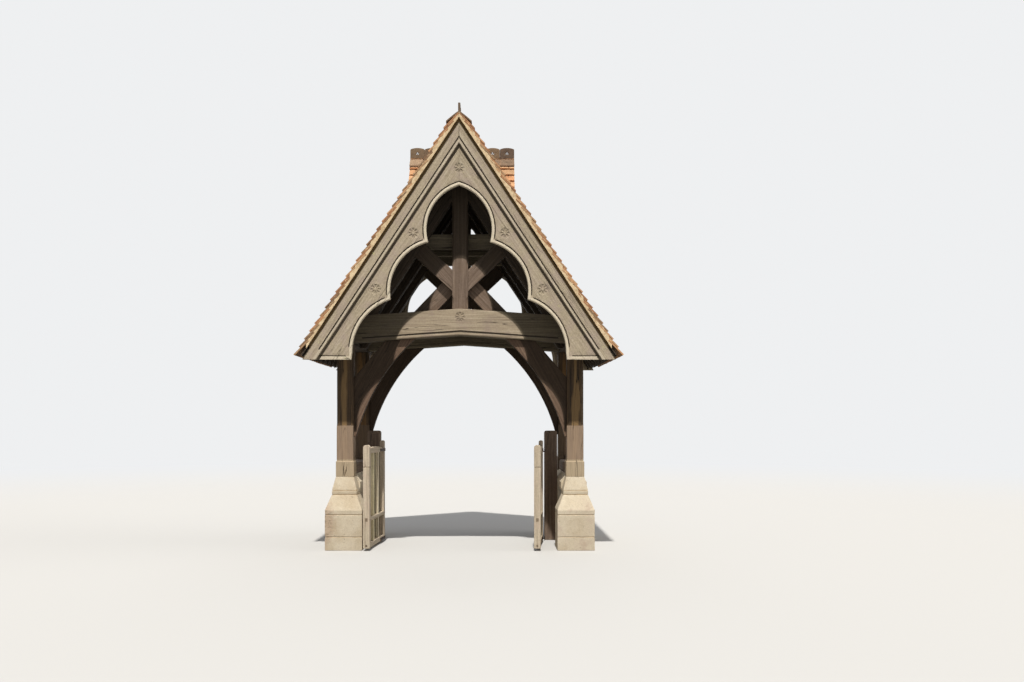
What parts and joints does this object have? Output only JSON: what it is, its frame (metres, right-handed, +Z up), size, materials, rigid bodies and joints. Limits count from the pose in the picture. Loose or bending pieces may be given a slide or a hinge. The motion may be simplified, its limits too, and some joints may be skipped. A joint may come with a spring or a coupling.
{
  "type": "lychgate",
  "caption": "Roofed timber gateway on stone plinths, with arched braces, cusped bargeboards, side gablets and a pair of hinged gates.",
  "frame": {"origin": "on the ground, in the middle of the plan", "axes": "+Z up, +X to the right for someone facing the front, -Y out of the front towards the viewer"},
  "size_m": [4.24, 2.87, 5.8298],
  "materials": {
    "stone": "sawn limestone, weathered",
    "oak_frame": "oiled and weathered oak",
    "oak_inside": "sheltered oak",
    "oak_board": "silvered oak",
    "oak_gate": "silver-grey oak",
    "clay_tile": "unglazed clay",
    "ridge_tile": "unglazed dark clay",
    "iron": "black iron, slightly rusted"
  },
  "bodies": {
    "structure": {"plinth_front_left": "stone", "plinth_front_right": "stone", "plinth_rear_left": "stone", "plinth_rear_right": "stone", "dwarf_wall_left": "stone", "dwarf_wall_right": "stone", "coping_left": "stone", "coping_right": "stone", "sill_left": "oak_frame", "sill_right": "oak_frame", "post_front_left": "oak_frame", "post_front_right": "oak_frame", "post_rear_left": "oak_frame", "post_rear_right": "oak_frame", "wall_plates": "oak_inside", "ridge_beam": "oak_inside", "purlins": "oak_inside", "tie_beam_front": "oak_frame", "tie_beam_rear": "oak_frame", "king_post_front": "oak_frame", "king_post_rear": "oak_frame", "principal_rafters_front": "oak_inside", "principal_rafters_middle": "oak_inside", "principal_rafters_rear": "oak_inside", "collar_front": "oak_inside", "collar_middle": "oak_inside", "collar_rear": "oak_inside", "upper_struts_front": "oak_frame", "upper_struts_rear": "oak_frame", "lower_struts_front": "oak_frame", "lower_struts_rear": "oak_frame", "arch_braces_front": "oak_frame", "arch_braces_rear": "oak_frame", "common_rafters": "oak_inside", "roof_slope_left": "clay_tile", "roof_slope_right": "clay_tile", "ridge_crest": "ridge_tile", "gablet_roof_left": "clay_tile", "gablet_roof_right": "clay_tile", "gablet_wall_left": "oak_board", "gablet_wall_right": "oak_board", "gablet_crest_left": "ridge_tile", "gablet_crest_right": "ridge_tile", "cusped_board_front_left": "oak_board", "cusped_board_front_right": "oak_board", "cusped_board_rear_left": "oak_board", "cusped_board_rear_right": "oak_board", "facing_board_front_left": "oak_board", "facing_board_front_right": "oak_board", "facing_board_rear_left": "oak_board", "facing_board_rear_right": "oak_board", "hanging_post_left": "oak_gate", "hanging_post_right": "oak_gate", "pintles_left": "iron", "pintles_right": "iron"},
    "gate_left": {"leaf_left": "oak_gate", "leaf_straps_left": "iron"},
    "gate_right": {"leaf_right": "oak_gate", "leaf_straps_right": "iron"}
  },
  "joints": [
    {"name": "gate_left_hinge", "type": "hinge", "parent": "structure", "child": "gate_left", "pos_m": [-1.122, -0.02, 0.7], "axis": [0, 0, 1], "range_deg": [0, 95.2]},
    {"name": "gate_right_hinge", "type": "hinge", "parent": "structure", "child": "gate_right", "pos_m": [1.122, -0.02, 0.7], "axis": [0, 0, 1], "range_deg": [-84.6, 8]}
  ]
}
